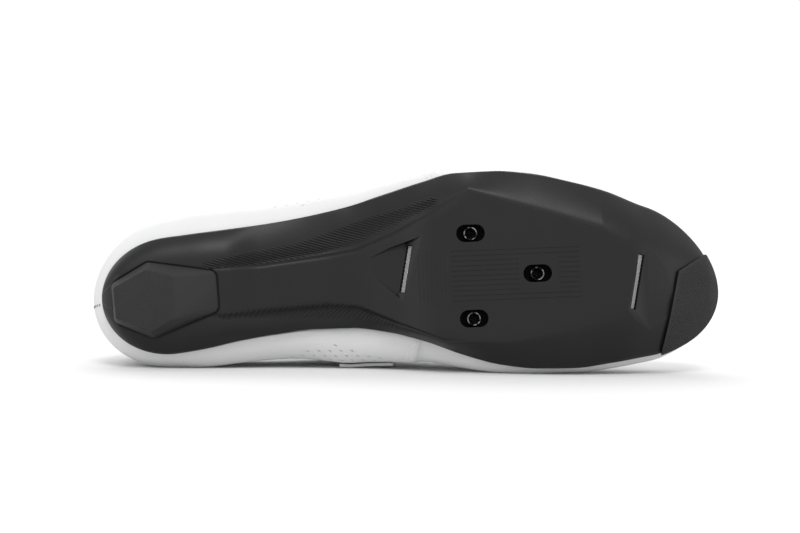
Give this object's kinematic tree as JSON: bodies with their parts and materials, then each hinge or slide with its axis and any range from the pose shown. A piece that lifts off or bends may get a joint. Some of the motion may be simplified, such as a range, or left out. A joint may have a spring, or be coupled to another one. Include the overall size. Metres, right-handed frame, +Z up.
{
  "type": "cycling shoe",
  "caption": "Right road cycling shoe lying on its medial side: stiff nylon sole with slotted cleat plateau, sliding threaded plate, rubber pads and a white strapped upper.",
  "frame": {"origin": "bottom centre of the bounding box, on the floor the shoe lies on", "axes": "+X from heel to toe, +Y away from the sole into the upper, +Z up off the floor; the sole faces -Y and slightly up"},
  "size_m": [0.2738, 0.1076, 0.0875],
  "materials": {
    "black_nylon": "moulded, satin",
    "black_rubber": "moulded, matte, fine cross-hatch",
    "vent_mesh": "woven mesh",
    "steel": "bright threaded bosses",
    "dark_foam": "textile on foam",
    "white_microfibre": "coated microfibre, fine grain",
    "light_textile": "padded knit",
    "white_strap": "coated strap"
  },
  "bodies": {
    "shoe": {"outsole": "black_nylon", "heel_pad": "black_rubber", "toe_pad": "black_rubber", "arch_vent_mesh": "vent_mesh", "toe_vent_mesh": "vent_mesh", "insole": "dark_foam", "upper": "white_microfibre", "tongue": "light_textile", "instep_strap": "white_strap", "forefoot_strap": "white_strap"},
    "cleat_plate": {"cleat_plate": "steel"}
  },
  "joints": [
    {"name": "cleat_slide", "type": "slide", "parent": "shoe", "child": "cleat_plate", "axis": [0.9987, 0, 0.0517], "range_m": [-0.0027, 0.0027]}
  ]
}
